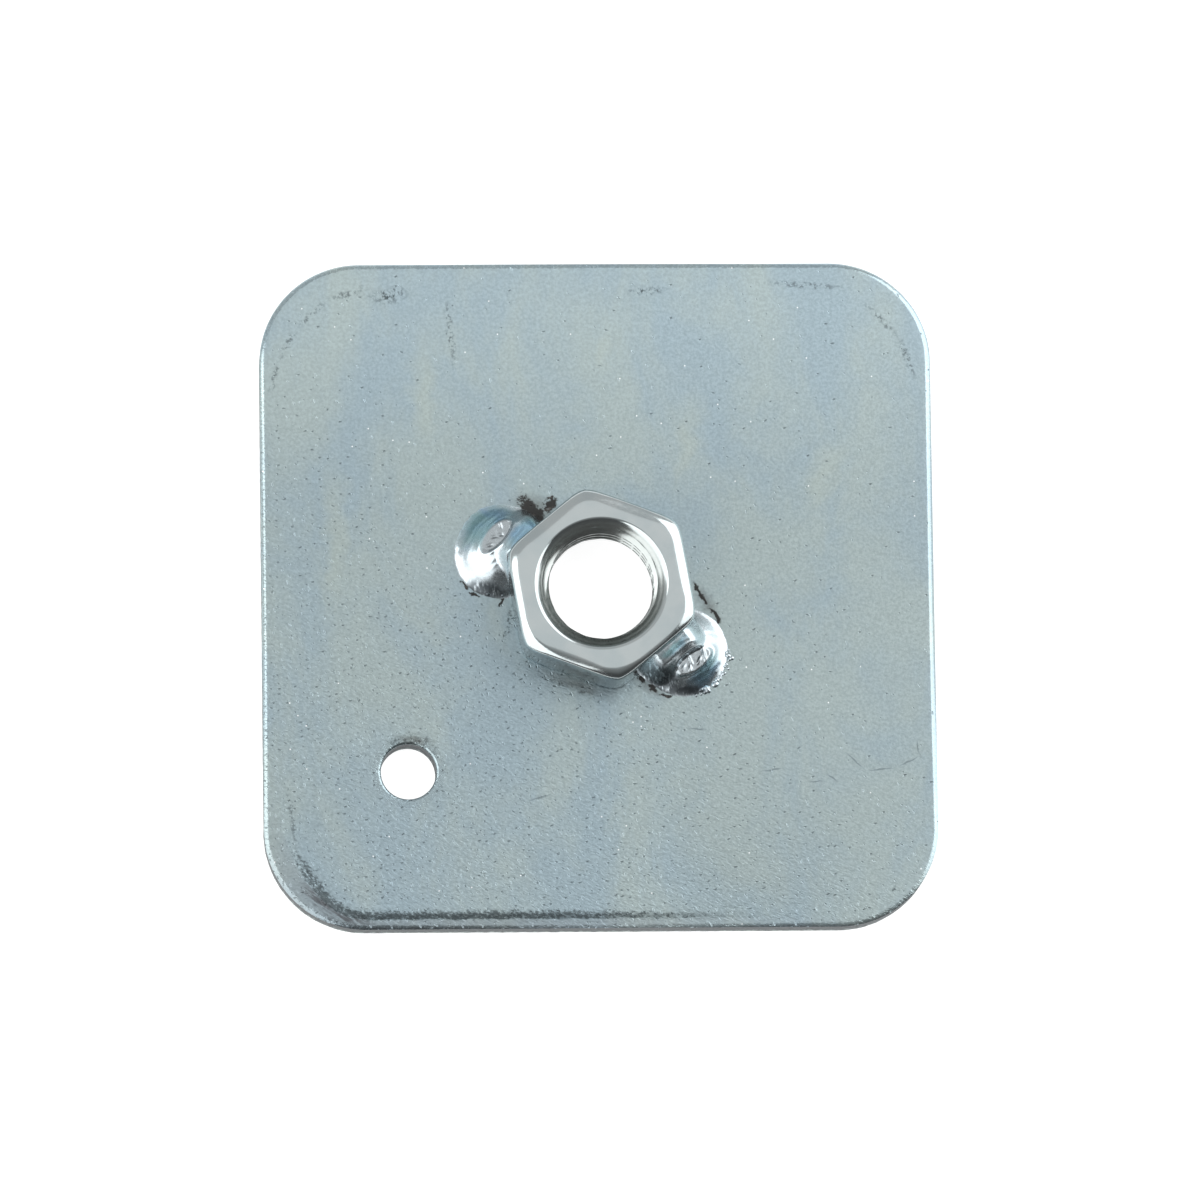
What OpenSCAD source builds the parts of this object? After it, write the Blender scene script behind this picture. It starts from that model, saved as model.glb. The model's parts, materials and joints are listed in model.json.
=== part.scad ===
// Plate nut: a square steel plate with rounded corners and a thin hexagon nut welded on its middle.
// Two short weld beads hold the nut, and one small hole beside it locates the plate.
// The origin is on the thread's axis, in the plate's underside, with the nut on top along +Z.

/* [Plate] */
// Width of the square plate
plate_w = 63.5; // [50:0.5:90]
// Thickness of the plate
plate_t = 3; // [2:0.1:6]
// Radius of the four corners, seen from above
corner_r = 9.5; // [4:0.5:16]
// Width of the round that the press drew onto the top edge
roll_w = 0.7; // [0.4:0.1:2]
// Drop of that round at the plate's side
roll_drop = 0.45; // [0.2:0.05:1.2]

/* [Locating hole] */
// Diameter of the small hole
locating_d = 5.2; // [3:0.1:8]
// Place of the small hole along X, from the thread's axis
locating_x = -18.1; // [-20:0.1:-16]
// Place of the small hole along Y, from the thread's axis
locating_y = -16.8; // [-20:0.1:-15]
// Radius that the punch rolled onto the top rims of both holes
rim_roll = 0.3; // [0.1:0.05:0.6]

/* [Nut] */
// Width of the nut across its flats
nut_af = 16.5; // [15:0.1:22]
// Height of the nut
nut_h = 6.35; // [4:0.05:12]
// Turn of the nut's first flat away from +X, in degrees
nut_turn = 9.6; // [0:0.2:60]
// How far the worn corners stand back from sharp ones
corner_ease = 0.3; // [0.1:0.05:0.6]
// Width of the ring that the corner chamfer takes off the flats
chamfer_w = 0.8; // [0.2:0.05:1.2]
// Slope of the corner chamfer, in degrees
chamfer_slope = 22; // [15:1:40]

/* [Thread] */
// Outside diameter of the thread
thread_d = 11.11; // [9:0.01:12]
// Height of the thread's ridges
ridge_h = 0.605; // [0.3:0.005:0.9]
// Width of the countersink outside the thread
sink_w = 0.65; // [0.3:0.05:1]
// Slope of the countersink, in degrees
sink_slope = 40; // [20:1:45]
// Play of the bolt in the plate's hole, on the diameter
bolt_play = 0.9; // [0.4:0.1:2]

/* [Left weld] */
// Radius of the bead where it meets the plate
left_r = 4.3; // [3:0.1:5.5]
// Height of the bead above the plate
left_h = 2.7; // [2:0.1:4]
// How far the bead's middle stands off the nut's flat
left_off = 0.75; // [0.5:0.05:2]
// How far the bead's middle lies along the flat from its corner
left_along = 0.55; // [0:0.05:4]

/* [Right weld] */
// Radius of the bead where it meets the plate
right_r = 4.2; // [3:0.1:5.5]
// Height of the bead above the plate
right_h = 2.8; // [2:0.1:4]
// How far the bead's middle stands off the nut's flat
right_off = 1.05; // [0.5:0.05:2]
// How far the bead's middle lies along the flat from its corner
right_along = 2.15; // [0:0.05:4]

/* [Metal that climbs the flats] */
// Length along the flat
climb_l = 3.8; // [3.6:0.1:5]
// Radius of the climbing metal's rounded back
climb_r = 1.7; // [1.2:0.1:1.8]
// Height above the plate
climb_h = 3.8; // [3:0.1:4]
// How far its middle lies along the flat from the corner
climb_along = 2.4; // [1.5:0.1:3.5]

/* [Weld craters] */
// Length of the sunken stop in the top of each bead
crater_l = 3.8; // [2.2:0.1:4]
// Radius of the sunken stop
crater_r = 1; // [0.6:0.1:1.1]
// Depth of the sunken stop
crater_depth = 0.4; // [0.2:0.05:0.6]
// Lean of the sunken stop away from the nut, in degrees
crater_lean = 14; // [0:1:35]
// Lean of the sunken stop back along the flat, in degrees
crater_swing = 11; // [0:1:25]

/* [Hidden] */
$fn = 96;

// Middles of the corner arcs, the radius of the edge's round, and how far hole tools run past a face
corner_mid = plate_w / 2 - corner_r;
roll_r = (roll_w * roll_w + roll_drop * roll_drop) / (2 * roll_drop);
cut_past = plate_t / 2;

// The bolt's hole in the plate, and the nut's bore, countersink and corners
bolt_hole_d = thread_d + bolt_play;
bore_d = thread_d - 2 * ridge_h;
sink_d = thread_d + 2 * sink_w;
sink_depth = (sink_d - bore_d) / 2 * tan(sink_slope);
nut_corner_r = nut_af / sqrt(3);
drum_r = nut_corner_r - corner_ease;
face_r = nut_af / 2 - chamfer_w;
chamfer_drop = (drum_r - face_r) * tan(chamfer_slope);

// Turns of the two flats that carry the welds, on opposite sides of the nut
left_turn = nut_turn + 120;
right_turn = left_turn + 180;

zinc = [0.67, 0.73, 0.74];
bright_zinc = [0.78, 0.81, 0.81];
weld_blue = [0.45, 0.55, 0.6];

// Half section of the plate: reach is how far it runs from the axis to the rounded edge
module edge_section(reach) {
    square([reach, plate_t - roll_drop]);
    square([reach - roll_w, plate_t]);
    intersection() {
        translate([reach - roll_w, plate_t - roll_drop])
            square([roll_w, roll_drop]);
        translate([reach - roll_w, plate_t - roll_r])
            circle(roll_r);
    }
}

// A strip of the plate along X, with the round on both long edges
module rolled_strip(length) {
    rotate([90, 0, 90])
        translate([0, 0, -length / 2])
            linear_extrude(length)
                for (side = [0, 1])
                    mirror([side, 0])
                        edge_section(plate_w / 2);
}

// The plate before its holes: two crossed strips and a quarter turn at each corner
module plate_blank() {
    rolled_strip(2 * corner_mid);
    rotate([0, 0, 90])
        rolled_strip(2 * corner_mid);
    for (turn = [0:90:270])
        rotate([0, 0, turn])
            translate([corner_mid, corner_mid])
                rotate_extrude(angle = 90)
                    edge_section(corner_r);
}

// A punched hole's tool, with the rim rolled over where the punch went in
module punch(d) {
    translate([0, 0, -cut_past])
        cylinder(d = d, h = plate_t + 2 * cut_past);
    rotate_extrude()
        difference() {
            translate([0, plate_t - rim_roll])
                square([d / 2 + rim_roll, rim_roll + cut_past]);
            translate([d / 2 + rim_roll, plate_t - rim_roll])
                circle(rim_roll);
        }
}

// The nut before its bore: a hexagon inside a drum with sloping ends, which also eases the corners
module nut_blank() {
    translate([0, 0, plate_t])
        intersection() {
            rotate([0, 0, nut_turn + 30])
                cylinder(r = nut_corner_r, h = nut_h, $fn = 6);
            rotate_extrude()
                polygon([
                    [0, 0],
                    [face_r, 0],
                    [drum_r, chamfer_drop],
                    [drum_r, nut_h - chamfer_drop],
                    [face_r, nut_h],
                    [0, nut_h]
                ]);
        }
}

// The bore with a countersink at each end, as one turned tool
module bore_tool() {
    translate([0, 0, plate_t])
        rotate_extrude()
            polygon([
                [0, 0],
                [sink_d / 2, 0],
                [bore_d / 2, sink_depth],
                [bore_d / 2, nut_h - sink_depth],
                [sink_d / 2, nut_h],
                [0, nut_h]
            ]);
}

// A round-ended bar along Y, for the metal that climbs the flat and for the sunken stop
module round_bar(length, r) {
    straight = length - 2 * r;
    rotate([90, 0, 0])
        cylinder(r = r, h = straight, center = true);
    for (end = [-1, 1])
        translate([0, end * straight / 2, 0])
            sphere(r);
}

// A bead in the corner between the plate and one of the nut's flats: a low dome that climbs the flat
module weld_bead(turn, r, h, off, along) {
    ball_r = (r * r + h * h) / (2 * h);
    ball_mid = [off, -along, h - ball_r];
    difference() {
        rotate([0, 0, turn])
            translate([nut_af / 2, nut_corner_r / 2, plate_t])
                difference() {
                    union() {
                        translate(ball_mid)
                            sphere(ball_r);
                        translate([0, -climb_along, climb_h - climb_r])
                            round_bar(climb_l, climb_r);
                    }
                    translate(ball_mid)
                        rotate([crater_swing, crater_lean, 0])
                            translate([0, 0, ball_r + crater_r - crater_depth])
                                round_bar(crater_l, crater_r);
                }
        translate([0, 0, plate_t - plate_w / 2])
            cube(plate_w, center = true);
        nut_blank();
    }
}

module plate() {
    color(zinc)
        difference() {
            plate_blank();
            punch(bolt_hole_d);
            translate([locating_x, locating_y, 0])
                punch(locating_d);
        }
}

module hex_nut() {
    color(bright_zinc)
        difference() {
            nut_blank();
            bore_tool();
        }
}

module left_weld() {
    color(weld_blue)
        weld_bead(left_turn, left_r, left_h, left_off, left_along);
}

module right_weld() {
    color(weld_blue)
        weld_bead(right_turn, right_r, right_h, right_off, right_along);
}

plate();
hex_nut();
left_weld();
right_weld();
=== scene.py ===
# Plate nut: a blanked steel plate, a thin hexagon nut and the two weld beads that hold it, all zinc plated.
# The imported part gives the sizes; each piece is rebuilt here with its thread, ripples and worn edges.
import json
import math
import random

import bmesh
import bpy
from mathutils import Matrix, Vector, noise


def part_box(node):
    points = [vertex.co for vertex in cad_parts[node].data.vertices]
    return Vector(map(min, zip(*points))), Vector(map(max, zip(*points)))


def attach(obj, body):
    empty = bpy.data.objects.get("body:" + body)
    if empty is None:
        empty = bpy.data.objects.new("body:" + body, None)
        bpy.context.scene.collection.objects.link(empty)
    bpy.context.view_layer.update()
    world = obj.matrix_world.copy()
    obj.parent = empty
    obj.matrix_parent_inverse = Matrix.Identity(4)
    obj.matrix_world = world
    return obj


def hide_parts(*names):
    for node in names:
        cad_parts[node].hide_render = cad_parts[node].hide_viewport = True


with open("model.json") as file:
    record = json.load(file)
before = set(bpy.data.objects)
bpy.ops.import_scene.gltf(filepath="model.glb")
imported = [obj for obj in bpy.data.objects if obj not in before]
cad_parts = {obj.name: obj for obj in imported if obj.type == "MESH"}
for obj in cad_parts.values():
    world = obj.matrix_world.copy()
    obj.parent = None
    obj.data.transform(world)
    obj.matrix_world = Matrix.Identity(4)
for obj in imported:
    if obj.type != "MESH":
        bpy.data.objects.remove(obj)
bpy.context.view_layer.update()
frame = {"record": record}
mm = 0.001
mounts = {m["name"]: m for m in frame["record"]["mounts"]}
plateLow, plateHigh = (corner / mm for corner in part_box("plate"))
nutLow, nutHigh = (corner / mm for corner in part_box("hex_nut"))
plateTop = plateHigh.z
print("frame loaded, plate", [round(v, 2) for v in plateHigh - plateLow])


# node helpers: a value is a plain number or colour, or the socket that drives it
def put(tree, kind, values=None, **settings):
    node = tree.nodes.new(kind)
    for key, value in settings.items():
        setattr(node, key, value)
    for key, value in (values or {}).items():
        if isinstance(value, bpy.types.NodeSocket):
            tree.links.new(value, node.inputs[key])
        else:
            node.inputs[key].default_value = value
    return node


def calc(tree, operation, a, b=0.0, clamp=False):
    return put(tree, "ShaderNodeMath", {0: a, 1: b}, operation=operation, use_clamp=clamp).outputs[0]


def vecCalc(tree, operation, a, b=(0.0, 0.0, 0.0)):
    return put(tree, "ShaderNodeVectorMath", {0: a, 1: b}, operation=operation).outputs


def fade(tree, value, low, high, start=0.0, end=1.0):
    sockets = {"Value": value, "From Min": low, "From Max": high, "To Min": start, "To Max": end}
    return put(tree, "ShaderNodeMapRange", sockets, interpolation_type="SMOOTHSTEP").outputs[0]


def tint(tree, factor, a, b, mode="MIX"):
    return put(tree, "ShaderNodeMix", {0: factor, 6: a, 7: b}, data_type="RGBA", blend_type=mode).outputs[2]


def noiseOf(tree, vector, scale, detail=2.0, rough=0.5, distort=0.0):
    sockets = {"Vector": vector, "Scale": scale, "Detail": detail, "Roughness": rough, "Distortion": distort}
    return put(tree, "ShaderNodeTexNoise", sockets).outputs[0]


def cells(tree, vector, scale):
    sockets = {"Vector": vector, "Scale": scale}
    return put(tree, "ShaderNodeTexVoronoi", sockets, voronoi_dimensions="2D").outputs


def moved(tree, vector, place=(0, 0, 0), turn=0.0, size=(1, 1, 1)):
    sockets = {"Vector": vector, "Location": place, "Rotation": (0, 0, math.radians(turn)), "Scale": size}
    return put(tree, "ShaderNodeMapping", sockets, vector_type="TEXTURE").outputs[0]


def painted(tree, name):
    # a number that the mesh carries on its points
    return put(tree, "ShaderNodeAttribute", attribute_name=name).outputs["Fac"]


def startMaterial(name):
    material = bpy.data.materials.new(name)
    material.use_nodes = True
    tree = material.node_tree
    tree.nodes.clear()
    surface = put(tree, "ShaderNodeOutputMaterial")
    shader = put(tree, "ShaderNodeBsdfPrincipled")
    tree.links.new(shader.outputs[0], surface.inputs["Surface"])
    place = put(tree, "ShaderNodeTexCoord").outputs["Object"]
    millimetres = put(tree, "ShaderNodeVectorMath", {0: place, "Scale": 1 / mm}, operation="SCALE").outputs[0]
    return material, tree, shader, millimetres


def finishMaterial(tree, shader, colour, roughness, height):
    # the height is in millimetres
    tree.links.new(colour, shader.inputs["Base Color"])
    tree.links.new(roughness, shader.inputs["Roughness"])
    bump = put(tree, "ShaderNodeBump", {"Strength": 1.0, "Distance": mm, "Height": height})
    tree.links.new(bump.outputs[0], shader.inputs["Normal"])


def ragged(tree, vector, scale, amount):
    # shakes a place so that what is painted by it gets a ragged outline
    sockets = {"Vector": vector, "Scale": scale, "Detail": 3.0}
    shake = put(tree, "ShaderNodeTexNoise", sockets).outputs["Color"]
    centred = vecCalc(tree, "SUBTRACT", shake, (0.5, 0.5, 0.5))[0]
    step = put(tree, "ShaderNodeVectorMath", {0: centred, "Scale": amount}, operation="SCALE").outputs[0]
    return vecCalc(tree, "ADD", vector, step)[0]


throughAll = 1000.0      # a mark reaches this far up and down, in mm


# what plated steel shows everywhere: fine grain, small slanting dents and a few bright specks
def makePlatingGroup():
    group = bpy.data.node_groups.new("platingGrain", "ShaderNodeTree")
    for name, kind in (("Vector", "NodeSocketVector"), ("Grain Scale", "NodeSocketFloat"),
                       ("Dent Amount", "NodeSocketFloat"), ("Speck Amount", "NodeSocketFloat")):
        group.interface.new_socket(name, in_out="INPUT", socket_type=kind)
    for name in ("Grain", "Wrinkles", "Dents", "Specks"):
        group.interface.new_socket(name, in_out="OUTPUT", socket_type="NodeSocketFloat")
    source = put(group, "NodeGroupInput").outputs
    sink = put(group, "NodeGroupOutput")
    grain = noiseOf(group, source["Vector"], source["Grain Scale"], detail=3.0, rough=0.65)
    slanted = moved(group, source["Vector"], turn=-24, size=(1.0, 0.42, 1.0))
    wrinkles = noiseOf(group, slanted, 1.7, detail=2.0, rough=0.55, distort=0.6)
    # each cell holds at most one short dent, which leans its own way
    cell = cells(group, source["Vector"], 1.5)
    luck = put(group, "ShaderNodeSeparateColor", {0: cell["Color"]}).outputs
    lean = fade(group, luck[0], 0.0, 1.0, -1.35, 0.45)
    length = fade(group, luck[1], 0.0, 1.0, 0.08, 0.26)
    turn = put(group, "ShaderNodeCombineXYZ", {2: lean}).outputs[0]
    half = put(group, "ShaderNodeCombineXYZ", {0: length, 1: 0.08, 2: throughAll}).outputs[0]
    bent = ragged(group, source["Vector"], 2.2, 0.16)
    sockets = {"Vector": bent, "Location": cell["Position"], "Rotation": turn, "Scale": half}
    oval = put(group, "ShaderNodeMapping", sockets, vector_type="TEXTURE").outputs[0]
    dent = fade(group, vecCalc(group, "LENGTH", oval)["Value"], 1.0, 0.25)
    dents = calc(group, "MULTIPLY", dent, calc(group, "LESS_THAN", luck[2], source["Dent Amount"]))
    grit = cells(group, source["Vector"], 1.3)
    spot = fade(group, grit["Distance"], 0.10, 0.06)
    chance = put(group, "ShaderNodeSeparateColor", {0: grit["Color"]}).outputs[0]
    rare = calc(group, "LESS_THAN", chance, source["Speck Amount"])
    group.links.new(grain, sink.inputs["Grain"])
    group.links.new(wrinkles, sink.inputs["Wrinkles"])
    group.links.new(dents, sink.inputs["Dents"])
    group.links.new(calc(group, "MULTIPLY", spot, rare), sink.inputs["Specks"])
    return group


platingGroup = makePlatingGroup()


def plating(tree, vector, grainScale, dentAmount=0.0, speckAmount=0.0):
    sockets = {"Vector": vector, "Grain Scale": grainScale,
               "Dent Amount": dentAmount, "Speck Amount": speckAmount}
    return put(tree, "ShaderNodeGroup", sockets, node_tree=platingGroup).outputs


# one soft oval spot, for soot, dirt, streaks and scratches
def makeStainGroup():
    group = bpy.data.node_groups.new("stainSpot", "ShaderNodeTree")
    for name in ("Vector", "Centre", "Turn", "Half Size"):
        group.interface.new_socket(name, in_out="INPUT", socket_type="NodeSocketVector")
    group.interface.new_socket("Core", in_out="INPUT", socket_type="NodeSocketFloat")
    group.interface.new_socket("Mask", in_out="OUTPUT", socket_type="NodeSocketFloat")
    source = put(group, "NodeGroupInput").outputs
    sink = put(group, "NodeGroupOutput")
    sockets = {"Vector": source["Vector"], "Location": source["Centre"], "Rotation": source["Turn"],
               "Scale": source["Half Size"]}
    oval = put(group, "ShaderNodeMapping", sockets, vector_type="TEXTURE").outputs[0]
    reach = vecCalc(group, "LENGTH", oval)["Value"]
    group.links.new(fade(group, reach, 1.0, source["Core"]), sink.inputs["Mask"])
    return group


stainGroup = makeStainGroup()


def stains(tree, vector, spots, core):
    mask = 0.0
    for centre, turn, half in spots:
        sockets = {"Vector": vector, "Centre": (*centre, 0), "Turn": (0, 0, math.radians(turn)),
                   "Half Size": (*half, throughAll), "Core": core}
        spot = put(tree, "ShaderNodeGroup", sockets, node_tree=stainGroup).outputs["Mask"]
        mask = calc(tree, "MAXIMUM", spot, mask)
    return mask


def scratches(tree, vector, lines, width):
    spots = []
    for start, end in lines:
        run = Vector(end) - Vector(start)
        centre = (Vector(start) + Vector(end)) / 2
        spots.append((centre, math.degrees(math.atan2(run.y, run.x)), (run.length / 2 + width, width)))
    return stains(tree, vector, spots, 0.3)


# mesh helpers
def addRing(bm, points):
    return [bm.verts.new(Vector(point) * mm) for point in points]


def joinRings(bm, rings, closed=False):
    pairs = zip(rings, rings[1:] + rings[:1]) if closed else zip(rings, rings[1:])
    for lower, upper in pairs:
        for i in range(len(lower)):
            j = (i + 1) % len(lower)
            bm.faces.new((lower[i], lower[j], upper[j], upper[i]))


def ringEdges(bm, ring):
    return [bm.edges.get((ring[i], ring[(i + 1) % len(ring)])) for i in range(len(ring))]


def addPiece(name, bm, material, nodeName, sharpAngle=35):
    bmesh.ops.recalc_face_normals(bm, faces=bm.faces)
    for face in bm.faces:
        face.smooth = True
    mesh = bpy.data.meshes.new(name)
    bm.to_mesh(mesh)
    bm.free()
    mesh.set_sharp_from_angle(angle=math.radians(sharpAngle))
    mesh.materials.append(material)
    piece = bpy.data.objects.new(name, mesh)
    bpy.context.scene.collection.objects.link(piece)
    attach(piece, "root")
    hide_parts(nodeName)
    print(name, "made,", len(mesh.polygons), "faces")


def rounded(points, radii, steps=5):
    # turns each inner corner of an open outline into a short curve
    result = [Vector(points[0])]
    for before, corner, after, radius in zip(points, points[1:], points[2:], radii):
        before, corner, after = Vector(before), Vector(corner), Vector(after)
        start = corner + (before - corner).normalized() * radius
        end = corner + (after - corner).normalized() * radius
        for i in range(steps):
            t = i / (steps - 1)
            result.append(start * (1 - t) ** 2 + corner * 2 * t * (1 - t) + end * t ** 2)
    return result + [Vector(points[-1])]


def smoothStep(low, high, value):
    share = min(max((value - low) / (high - low), 0.0), 1.0)
    return share * share * (3 - 2 * share)


def smoothMin(a, b, width):
    share = max(width - abs(a - b), 0) / width
    return min(a, b) - share * share * width / 4


# the camera stands over the plate, a little in front and to the left, with a long lens
shot = {
    "tilt": 9.66,            # degrees towards the front
    "lean": 3.21,            # degrees towards the left
    "roll": -0.81,
    "distance": 1342,        # mm from the plate's top
    "scale": 10.61,          # photo pixels for each mm at the plate's middle
    "middle": (-1.5, 5.58),  # photo pixels from the picture's middle to the plate's, right and up
    "pixels": 1200,
    "sensor": 36,
}


def makeCamera():
    tilt, lean, roll = (math.radians(shot[key]) for key in ("tilt", "lean", "roll"))
    back = Vector((-math.sin(lean), -math.sin(tilt) * math.cos(lean), math.cos(tilt) * math.cos(lean)))
    level = Vector((0, 1, 0)).cross(back).normalized()
    rise = back.cross(level)
    right = level * math.cos(roll) + rise * math.sin(roll)
    up = rise * math.cos(roll) - level * math.sin(roll)
    place = back * shot["distance"] - (right * shot["middle"][0] + up * shot["middle"][1]) / shot["scale"]
    data = bpy.data.cameras.new("shotCamera")
    data.sensor_width = shot["sensor"]
    data.lens = shot["scale"] * shot["distance"] * shot["sensor"] / shot["pixels"]
    data.clip_end = 10
    camera = bpy.data.objects.new("shotCamera", data)
    turn = Matrix((right, up, back)).transposed().to_4x4()
    camera.matrix_world = Matrix.Translation((place + Vector((0, 0, plateTop))) * mm) @ turn
    bpy.context.scene.collection.objects.link(camera)
    bpy.context.scene.camera = camera
    print("camera set, lens", round(data.lens))


# studio: a broad panel overhead and behind, a soft box low on each side,
# and a dark front where the camera stands
studio = {
    "panels": (
        # name, shape, azimuth and rise in degrees, distance, width and height in m, strength
        ("topPanel", "RECTANGLE", 90, 80, 0.62, 1.60, 0.34, 0.34),
        ("leftBox", "ELLIPSE", 204, 33, 0.60, 0.98, 0.75, 1.7),
        ("rightBox", "ELLIPSE", 21, 32, 0.60, 0.94, 0.84, 1.6),
    ),
    "backGlow": 0.70,
    "backStart": (-0.2, 0.02),  # where the front turns into the back, along Y
    # how bright the front is, from level (0) to straight up (1)
    "frontGlow": ((0.0, 0.16), (0.3, 0.11), (0.52, 0.09), (0.67, 0.16), (0.79, 0.25), (0.91, 0.32),
                  (0.98, 0.5), (1.0, 0.9)),
    "floorSize": 3.0,
    "floorGap": 0.02,           # mm under the plate
    "floorGlow": 0.92,          # what the camera sees of the floor even in shadow
    "floorColour": (0.36, 0.36, 0.36, 1),
}


def makeLamps():
    for name, shape, azimuth, rise, distance, width, height, strength in studio["panels"]:
        data = bpy.data.lights.new(name, "AREA")
        data.shape = shape
        data.size = width
        data.size_y = height
        data.energy = strength * math.pi * width * height
        lamp = bpy.data.objects.new(name, data)
        level = math.cos(math.radians(rise))
        turn = math.radians(azimuth)
        aim = Vector((level * math.cos(turn), level * math.sin(turn), math.sin(math.radians(rise))))
        lamp.location = aim * distance
        lamp.rotation_euler = aim.to_track_quat("Z", "Y").to_euler()
        bpy.context.scene.collection.objects.link(lamp)
    print(len(studio["panels"]), "lamps hung")


def makeRoom():
    world = bpy.data.worlds.new("studioRoom")
    world.use_nodes = True
    tree = world.node_tree
    tree.nodes.clear()
    way = put(tree, "ShaderNodeTexCoord").outputs["Generated"]
    along = put(tree, "ShaderNodeSeparateXYZ", {0: way}).outputs
    ramp = put(tree, "ShaderNodeValToRGB", {0: along["Z"]})
    stops = ramp.color_ramp.elements
    while len(stops) < len(studio["frontGlow"]):
        stops.new(0.5)
    for stop, (place, glow) in zip(stops, studio["frontGlow"]):
        stop.position = place
        stop.color = (glow, glow, glow, 1)
    share = fade(tree, along["Y"], *studio["backStart"])
    front = calc(tree, "MULTIPLY", ramp.outputs["Color"], calc(tree, "SUBTRACT", 1.0, share))
    level = calc(tree, "ADD", front, calc(tree, "MULTIPLY", share, studio["backGlow"]))
    glow = put(tree, "ShaderNodeBackground", {"Color": (1, 1, 1, 1), "Strength": level})
    put(tree, "ShaderNodeOutputWorld", {"Surface": glow.outputs[0]})
    bpy.context.scene.world = world
    bpy.context.scene.view_settings.view_transform = "Standard"
    print("room lit")


def makeFloor():
    material = bpy.data.materials.new("paleFloor")
    material.use_nodes = True
    tree = material.node_tree
    tree.nodes.clear()
    ray = put(tree, "ShaderNodeLightPath").outputs
    seen = calc(tree, "MAXIMUM", ray["Is Camera Ray"], ray["Is Glossy Ray"])
    seen = calc(tree, "MAXIMUM", seen, ray["Is Transmission Ray"])
    lift = calc(tree, "MULTIPLY", seen, studio["floorGlow"])
    emit = put(tree, "ShaderNodeEmission", {"Color": (1, 1, 1, 1), "Strength": lift}).outputs[0]
    matte = put(tree, "ShaderNodeBsdfDiffuse", {"Color": studio["floorColour"]}).outputs[0]
    both = put(tree, "ShaderNodeAddShader", {0: emit, 1: matte}).outputs[0]
    put(tree, "ShaderNodeOutputMaterial", {"Surface": both})
    half = studio["floorSize"] / 2
    drop = (plateLow.z - studio["floorGap"]) * mm
    corners = [(-half, -half, drop), (half, -half, drop), (half, half, drop), (-half, half, drop)]
    mesh = bpy.data.meshes.new("studioFloor")
    mesh.from_pydata(corners, [], [(0, 1, 2, 3)])
    mesh.materials.append(material)
    floor = bpy.data.objects.new("studioFloor", mesh)
    bpy.context.scene.collection.objects.link(floor)
    print("floor laid")


# the plate: a blanked square with a rounded top edge,
# and a step that the press left in front and round one corner
plateForm = {
    "corner": 9.5,
    # the rounded edge, every 45 degrees round from the right side
    "edgeWidths": (0.58, 0.55, 0.5, 0.55, 0.5, 0.5, 0.35, 0.5),
    "edgeDrops": (0.43, 0.3, 0.2, 0.3, 0.38, 0.2, 0.03, 0.14),
    # the pressed step: its inner and outer line, in from the side, and its depth
    "frontStep": (1.5, 0.8, 0.2),
    "cornerStep": (3.0, 2.0, 0.2),
    "cornerEnd": (236, 222), # degrees round where the front's step turns into the corner's
    "stepStart": (207, 228), # degrees round where the step sets in
    "stepEnd": (318, 252),   # degrees round where it has gone
    "shelfSlope": 0.07,
    "rimRoll": 0.3,
    "ragged": 0.05,          # roughness of the torn lower part of the side
    "underRound": 0.12,      # the side's lower edge stands in this far
    "underFlat": 1.6,        # the flat underside starts this far in
    "topMargin": 0.5,        # and the flat top this far past the rounded edge or the step
    "sideRows": (0.05, 0.18, 0.31, 0.44, 0.57, 0.7, 0.84),
    "holeSteps": 120,
    "rimSteps": 6,
    "arcSteps": 40,
    "edgeSteps": 150,
    "edgeRows": 30,
}


def plateOutline():
    # points around the plate and their outward direction
    half = plateHigh.x
    corner = plateForm["corner"]
    straight = half - corner
    points = []
    for k in range(4):
        turn = Matrix.Rotation(math.radians(90 * k), 3, "Z")
        for i in range(plateForm["arcSteps"]):
            angle = math.radians(90 * i / plateForm["arcSteps"])
            out = Vector((math.cos(angle), math.sin(angle), 0))
            points.append((turn @ (Vector((straight, straight, 0)) + out * corner), turn @ out))
        for i in range(plateForm["edgeSteps"]):
            along = straight - 2 * straight * i / plateForm["edgeSteps"]
            points.append((turn @ Vector((along, half, 0)), turn @ Vector((0, 1, 0))))
    return points


def edgeAt(place):
    # the rounded edge and the pressed step at this place of the outline
    form = plateForm
    angle = math.degrees(math.atan2(place.y, place.x)) % 360
    k = int(angle // 45)
    share = 0.5 - 0.5 * math.cos(math.pi * (angle / 45 - k))
    width, drop = (row[k % 8] * (1 - share) + row[(k + 1) % 8] * share
                   for row in (form["edgeWidths"], form["edgeDrops"]))
    press = smoothStep(*form["stepStart"], angle) * smoothStep(*form["stepEnd"], angle)
    corner = smoothStep(*form["cornerEnd"], angle)
    inner, outer, depth = (a * (1 - corner) + b * corner
                           for a, b in zip(form["frontStep"], form["cornerStep"]))
    shake = 0.10 * noise.noise(place * 0.8) + 0.05 * noise.noise(place * 2.3)
    return {"width": width * (1 + 0.07 * noise.noise(place * 1.3)), "drop": drop,
            "press": press, "depth": depth * press, "inner": inner + shake, "outer": outer + shake,
            "reach": width + (2 * inner - outer - width) * press}


def stepShare(edge, inset):
    # -1 well inside the step, 0 where it starts to fall, 1 where it ends
    return min(max((edge["inner"] - inset) / (edge["inner"] - edge["outer"]), -1.0), 1.0)


def edgeFall(edge, inset):
    step = smoothStep(0.0, 1.0, stepShare(edge, inset))
    shelf = plateForm["shelfSlope"] * edge["press"] * max(edge["outer"] - inset, 0.0)
    over = max(1 - inset / edge["width"], 0.0)
    return edge["depth"] * step + shelf + edge["drop"] * over * over


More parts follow.
